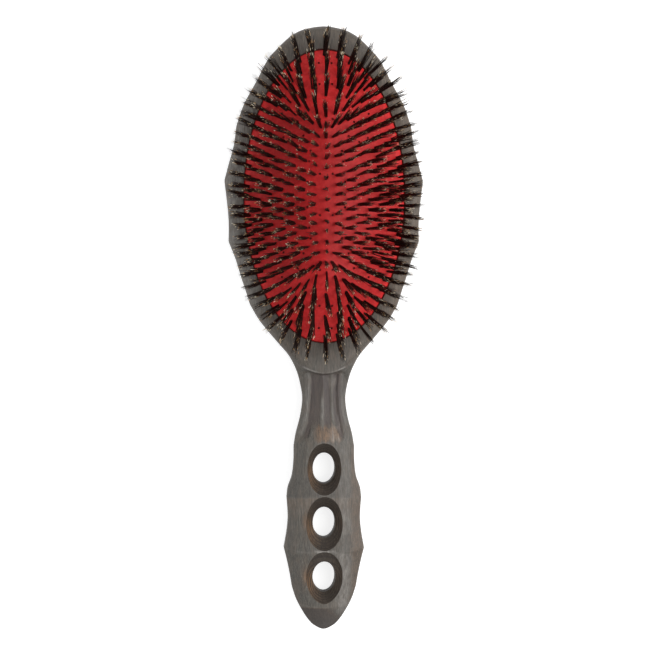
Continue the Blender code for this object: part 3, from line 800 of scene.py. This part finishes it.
def ring_feet(number, ring_inset):
    """Foot and lean of each tuft of an oval ring."""
    across, along = POCKET_HALF[0] - ring_inset, POCKET_HALF[1] - ring_inset
    tufts = []
    for turn in ring_turns(number, across, along):
        moved = LIP_ROOM * float(ease(abs(math.cos(turn)), 0.15, 0.45)) if number == 1 else 0.0
        height = PAD_EDGE_Z + float(crown(ring_inset + moved))
        foot = np.array([-across * math.sin(turn), along * math.cos(turn), height])
        tangent = np.array([-across * math.cos(turn), -along * math.sin(turn), 0])
        away = np.array([tangent[1], -tangent[0], 0]) / np.linalg.norm(tangent)
        foot = foot - away * moved * (1 if away @ foot > 0 else -1)
        tufts.append((foot, tuft_lean(foot, turn, tangent, ring_inset)))
    return tufts


def row_feet():
    """Foot and lean of each tuft of the straight centre row. It fans a little towards its ends."""
    height = PAD_EDGE_Z + float(crown(RING_INSETS[-1] + RING_STEP / 2))
    tufts = []
    for k in range(ROW_TUFTS):
        y = ROW_HALF * (2 * k / (ROW_TUFTS - 1) - 1)
        lean = np.array([-LEFT_LEAN, math.sin(math.radians(4.0) * y / ROW_HALF) - HANDLE_LEAN, 1.0])
        tufts.append(((0, y, height), unit(lean)))
    return tufts


# How many numbers each tuft has for its hairs and for its locks, so that each draws chances of its own
HAIR_NUMBERS, LOCK_NUMBERS = 64.0, 16.0


def tuft_tree():
    """Geometry Nodes: draws a spread bundle of tapered hairs at every foot."""
    tree = bpy.data.node_groups.new("bristle_tufts", "GeometryNodeTree")
    tree.interface.new_socket("Feet", in_out="INPUT", socket_type="NodeSocketGeometry")
    for kind, names in (
        ("NodeSocketInt", ("Locks", "Seed")),
        ("NodeSocketFloat", ("Length", "Sunk", "Root Radius", "Tip Radius", "Foot Spread")),
        ("NodeSocketFloat", ("Fan", "Bow", "Uneven", "Shortest", "Stray")),
        ("NodeSocketMaterial", ("Finish",)),
    ):
        for name in names:
            tree.interface.new_socket(name, in_out="INPUT", socket_type=kind)
    tree.interface.new_socket("Tufts", in_out="OUTPUT", socket_type="NodeSocketGeometry")
    given = add_node(tree, "NodeGroupInput").outputs

    def number(operation, *values):
        return maths(tree, operation, *values)

    def vector(operation, a, b=None, scale=None):
        inputs = {name: value for name, value in ((0, a), (1, b), ("Scale", scale)) if value is not None}
        return add_node(tree, "ShaderNodeVectorMath", {"operation": operation}, inputs).outputs["Vector"]

    def named(name, kind="INT"):
        return add_node(
            tree, "GeometryNodeInputNamedAttribute", {"data_type": kind}, {"Name": name},
        ).outputs["Attribute"]

    def store(geometry, name, value, kind, domain):
        return add_node(
            tree, "GeometryNodeStoreNamedAttribute", {"data_type": kind, "domain": domain},
            {"Geometry": geometry, "Name": name, "Value": value},
        ).outputs["Geometry"]

    def chance(low, high, who, offset):
        return add_node(
            tree, "FunctionNodeRandomValue", {"data_type": "FLOAT"},
            {2: low, 3: high, "ID": who, "Seed": number("ADD", given["Seed"], offset)},
        ).outputs[1]

    def own_number(numbers, k):
        return number("ADD", number("MULTIPLY", tuft, numbers), k)

    # One hair: a thin three-sided cone with a slight bow
    cone = add_node(
        tree, "GeometryNodeMeshCone", {"fill_type": "NGON"},
        {"Vertices": 3, "Side Segments": 5, "Radius Top": given["Tip Radius"], "Radius Bottom": given["Root Radius"],
         "Depth": given["Length"]},
    ).outputs["Mesh"]
    lowest = add_node(tree, "GeometryNodeBoundBox", None, {"Geometry": cone}).outputs["Min"]
    place = add_node(tree, "GeometryNodeInputPosition").outputs[0]
    rise = add_node(tree, "ShaderNodeSeparateXYZ", None, {0: vector("SUBTRACT", place, lowest)}).outputs["Z"]
    along = number("DIVIDE", rise, given["Length"])
    put = add_node(tree, "ShaderNodeSeparateXYZ", None, {0: place}).outputs
    bow = number("MULTIPLY", number("MULTIPLY", along, along), given["Bow"])
    bent = add_node(
        tree, "ShaderNodeCombineXYZ", None,
        {"X": number("ADD", put["X"], bow), "Y": put["Y"], "Z": number("SUBTRACT", rise, given["Sunk"])},
    )
    hair = add_node(
        tree, "GeometryNodeSetPosition", None,
        {"Geometry": store(cone, "along", along, "FLOAT", "POINT"), "Position": bent.outputs[0]},
    )

    # Hairs of a tuft share a few locks, so that the tuft splits into points
    tuft, lean = named("tuft"), named("lean", "FLOAT_VECTOR")
    copies = add_node(
        tree, "GeometryNodeDuplicateElements", {"domain": "POINT"},
        {"Geometry": given["Feet"], "Amount": named("hairs")},
    )
    copy = copies.outputs["Duplicate Index"]
    numbered = store(copies.outputs["Geometry"], "copy", copy, "INT", "POINT")
    lock = own_number(LOCK_NUMBERS, number("MODULO", copy, given["Locks"]))
    each = own_number(HAIR_NUMBERS, copy)
    side = vector("NORMALIZE", vector("CROSS_PRODUCT", (0, 1, 0), lean))
    other = vector("CROSS_PRODUCT", lean, side)
    offset = None
    for who, share, salt in ((lock, 0.74, 10), (each, 0.32, 20)):
        turn = chance(0, math.tau, who, salt)
        reach = number("MULTIPLY", number("SQRT", chance(0, 1, who, salt + 1)), share)
        sideways = vector("SCALE", side, scale=number("MULTIPLY", reach, number("COSINE", turn)))
        onwards = vector("SCALE", other, scale=number("MULTIPLY", reach, number("SINE", turn)))
        part = vector("ADD", sideways, onwards)
        offset = part if offset is None else vector("ADD", offset, part)
    spread = add_node(
        tree, "GeometryNodeSetPosition", None,
        {"Geometry": numbered, "Offset": vector("SCALE", offset, scale=given["Foot Spread"])},
    )

    # The tuft strays a little as a whole, and its hairs fan, roll and end at their own lengths
    stray = add_node(
        tree, "FunctionNodeRandomValue", {"data_type": "FLOAT_VECTOR"},
        {0: (-1, -1, 0), 1: (1, 1, 0), "ID": tuft, "Seed": given["Seed"]},
    )
    aim = vector("ADD", lean, vector("SCALE", stray.outputs[0], scale=given["Stray"]))
    aim = vector("ADD", aim, vector("SCALE", offset, scale=given["Fan"]))
    turned = add_node(tree, "FunctionNodeAlignRotationToVector", {"axis": "Z"}, {"Vector": aim})
    roll = add_node(
        tree, "FunctionNodeAxisAngleToRotation", None, {"Axis": (0, 0, 1), "Angle": chance(0, math.tau, each, 30)},
    )
    rolled = add_node(
        tree, "FunctionNodeRotateRotation", {"rotation_space": "LOCAL"},
        {"Rotation": turned.outputs[0], "Rotate By": roll.outputs[0]},
    )
    uneven = number("MULTIPLY", number("ADD", chance(0, 1.3, each, 40), chance(0, 0.7, lock, 41)), given["Uneven"])
    stub = number("POWER", chance(0, 1, each, 42), 1.2)
    short = number("ADD", uneven, number("MULTIPLY", stub, number("SUBTRACT", 1.0, given["Shortest"])))
    size = add_node(tree, "ShaderNodeCombineXYZ", None, {"X": 1, "Y": 1, "Z": number("SUBTRACT", 1.0, short)})
    drawn = add_node(
        tree, "GeometryNodeInstanceOnPoints", None,
        {"Points": spread.outputs[0], "Instance": hair.outputs[0], "Rotation": rolled.outputs[0],
         "Scale": size.outputs[0]},
    )

    # Each hair keeps a tone of its own, and part of it from its lock
    kept = named("copy")
    own = chance(0, 0.55, own_number(HAIR_NUMBERS, kept), 50)
    shared = chance(0, 0.45, own_number(LOCK_NUMBERS, number("MODULO", kept, given["Locks"])), 51)
    toned = store(drawn.outputs[0], "tone", number("ADD", own, shared), "FLOAT", "INSTANCE")
    real = add_node(tree, "GeometryNodeRealizeInstances", None, {"Geometry": toned})
    done = add_node(
        tree, "GeometryNodeSetMaterial", None, {"Geometry": real.outputs[0], "Material": given["Finish"]},
    )
    add_node(tree, "NodeGroupOutput", None, {"Tufts": done.outputs[0]})
    return tree


# Colours of a bristle, and of its cut end: partly the hair's own colour, partly painted glints
HAIR_DARK, HAIR_BROWN, HAIR_SPECK = (0.008, 0.006, 0.005, 1), (0.019, 0.012, 0.009, 1), (0.030, 0.018, 0.012, 1)
END_AMBER, END_GLINT_CREAM = (0.560, 0.330, 0.140, 1), (1.000, 0.900, 0.680, 1)


def bristle_finish():
    """Dark brown bristle, a little glossy, amber to cream where it was cut: partly the hairs' own pale ends, partly
    painted glints.
    """
    made, tree, shader = new_finish("dark_bristle_hair")
    tone = stored(tree, "tone")
    specks = noise(tree, (1500, 1500, 700), Detail=2)
    colour = mix(tree, tone, HAIR_DARK, HAIR_BROWN)
    colour = mix(tree, maths(tree, "MULTIPLY", specks, 0.2), colour, HAIR_SPECK)
    # Pale cut ends are partly the hairs' own colour and partly painted glints
    cut_end_and_glint = maths(tree, "MULTIPLY", ramp(tree, stored(tree, "along"), 0.905, 0.935), ramp(tree, tone, 0.56, 0.64))
    colour = mix(tree, cut_end_and_glint, colour, mix(tree, ramp(tree, tone, 0.68, 0.78), END_AMBER, END_GLINT_CREAM))
    feed(tree, shader, {"Base Color": colour, "Roughness": 0.45, "Specular IOR Level": 0.25})
    return made


def grow_tufts(name, tufts, node, seed, inner):
    """Draws one ring's bristles and makes them a plain mesh. Inner is 0 in the outer ring and 1 at the centre."""
    spread, fan = (a + (b - a) * inner for a, b in zip(OUTER_TUFT[1:], CENTRE_TUFT[1:]))
    x, y = np.abs([foot[:2] for foot, _ in tufts]).T
    amount = OUTER_TUFT[0] + (CENTRE_TUFT[0] - OUTER_TUFT[0]) * inner * (1 - ease(y, 14, 30))
    amount = amount * (1 - CORNER_THINNING * ease(x, 6, 14) * ease(y, 12, 22))
    mesh = bpy.data.meshes.new(name)
    mesh.from_pydata([[c * MM for c in foot] for foot, _ in tufts], [], [])
    leans = np.array([lean for _, lean in tufts], np.float32)
    mesh.attributes.new("lean", "FLOAT_VECTOR", "POINT").data.foreach_set("vector", leans.ravel())
    for mark, values in (("tuft", np.arange(len(tufts))), ("hairs", np.round(amount))):
        mesh.attributes.new(mark, "INT", "POINT").data.foreach_set("value", values.astype(np.int32))
    feet = add_object(name, mesh)
    step = feet.modifiers.new("tufts", "NODES")
    step.node_group = TUFT_TREE
    values = {
        "Locks": 5, "Length": 18.6 * MM, "Sunk": 0.8 * MM, "Root Radius": 0.125 * MM, "Tip Radius": 0.062 * MM,
        "Foot Spread": spread * MM, "Fan": fan, "Bow": 0.42 * MM, "Uneven": 0.11, "Stray": 0.045,
        "Shortest": 0.50, "Seed": seed, "Finish": HAIR,
    }
    for item in TUFT_TREE.interface.items_tree:
        if item.item_type == "SOCKET" and item.in_out == "INPUT" and item.name in values:
            step[item.identifier] = values[item.name]
    bake(feet)
    feet.data.materials.clear()
    feet.data.materials.append(HAIR)
    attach(feet, "tuft_field")
    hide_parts(node)


TUFT_TREE = tuft_tree()
HAIR = bristle_finish()
for number, ring_inset in enumerate(RING_INSETS, 1):
    tufts = ring_feet(number, ring_inset)
    grow_tufts(f"bristles_ring_{number}", tufts, f"tuft_ring_{number}", 100 * number, ease(number, 4, 8))
grow_tufts("bristles_centre_row", row_feet(), "centre_tufts", 900, 1)

# ---------------------------------------------------------------------------------------------------------
# Camera. It looks down from about 0.6 m, a little to the left of the brush, as the photograph has it. Its
# lens shows the whole brush with a narrow border of the sheet above and below.

AIM = np.array([0.4, -50.9, 10.0]) * MM
EYE = np.array([-38.4, -40.0, 610.0]) * MM


def facing(place, target):
    """Where a camera or lamp stands at a place and looks at the target, with the brush's top upwards."""
    back = unit(np.array(place) - target)
    right = unit(np.cross((0, 1, 0), back))
    up = np.cross(back, right)
    return Matrix([[right[i], up[i], back[i], place[i]] for i in range(3)] + [[0, 0, 0, 1]])


lens = bpy.data.cameras.new("camera")
lens.sensor_width = 36
lens.lens = 83.7
lens.clip_start = 0.01
lens.clip_end = 20
camera = add_object("camera", lens)
camera.matrix_world = facing(EYE, AIM)
bpy.context.scene.camera = camera

# ---------------------------------------------------------------------------------------------------------
# Floor and light. A plain white sheet lies under the brush and keeps its faint shadow. Soft square lamps
# shine on it from all round in a pale room, the brightest from the right.

FLOOR_HALF = 3.0
FLOOR_Z = -0.2 * MM


def shown_rays(tree):
    """1 where the camera sees a surface, straight or through gloss or glass, and 0 where light bounces off it."""
    path = add_node(tree, "ShaderNodeLightPath").outputs
    seen = maths(tree, "MAXIMUM", path["Is Camera Ray"], path["Is Glossy Ray"])
    return maths(tree, "MAXIMUM", seen, path["Is Transmission Ray"])


def floor_finish():
    """White paper. The camera sees it a little brighter than it lights the brush, and the shadow stays."""
    made, tree, shader = new_finish("white_sheet")
    seen = shown_rays(tree)
    plain = mix(tree, noise(tree, (300, 300, 300), Detail=3), (0.58, 0.58, 0.58, 1), (0.62, 0.62, 0.62, 1))
    feed(tree, shader, {
        "Base Color": mix(tree, seen, plain, (0.50, 0.50, 0.50, 1)), "Roughness": 0.9, "Specular IOR Level": 0.0,
        "Emission Color": mix(tree, seen, (0, 0, 0, 1), (0.80, 0.80, 0.80, 1)), "Emission Strength": 1.0,
    })
    return made


sheet = bmesh.new()
bmesh.ops.create_grid(sheet, x_segments=8, y_segments=8, size=FLOOR_HALF)
for point in sheet.verts:
    point.co.z = FLOOR_Z
floor = mesh_object("floor", sheet)
floor.data.materials.append(floor_finish())


# Each lamp's name, place and side in metres, power and colour
LAMPS = [
    ("key", (0.85, 0.05, 0.70), 0.7, 6.6, (1.0, 0.985, 0.97)),
    ("fill", (-0.9, -0.05, 0.65), 0.7, 2.6, (0.97, 0.99, 1.0)),
    ("overhead", (0.45, -0.02, 1.05), 0.6, 4.8, (1.0, 1.0, 1.0)),
    ("top", (0.1, 1.1, 0.60), 0.7, 1.6, (1.0, 1.0, 1.0)),
    ("foot", (0.1, -1.1, 0.60), 0.7, 1.6, (1.0, 1.0, 1.0)),
]
for name, place, side, power, colour in LAMPS:
    light = bpy.data.lights.new(name, "AREA")
    light.size = side
    light.energy = power
    light.color = colour
    add_object(name, light).matrix_world = facing(place, AIM)

world = bpy.data.worlds.new("studio")
world.use_nodes = True
bpy.context.scene.world = world
tree = world.node_tree
shade = mix(tree, shown_rays(tree), (0.35, 0.35, 0.35, 1), (1, 1, 1, 1))
feed(tree, tree.nodes["Background"], {"Color": shade})

bpy.context.scene.view_settings.view_transform = "Standard"
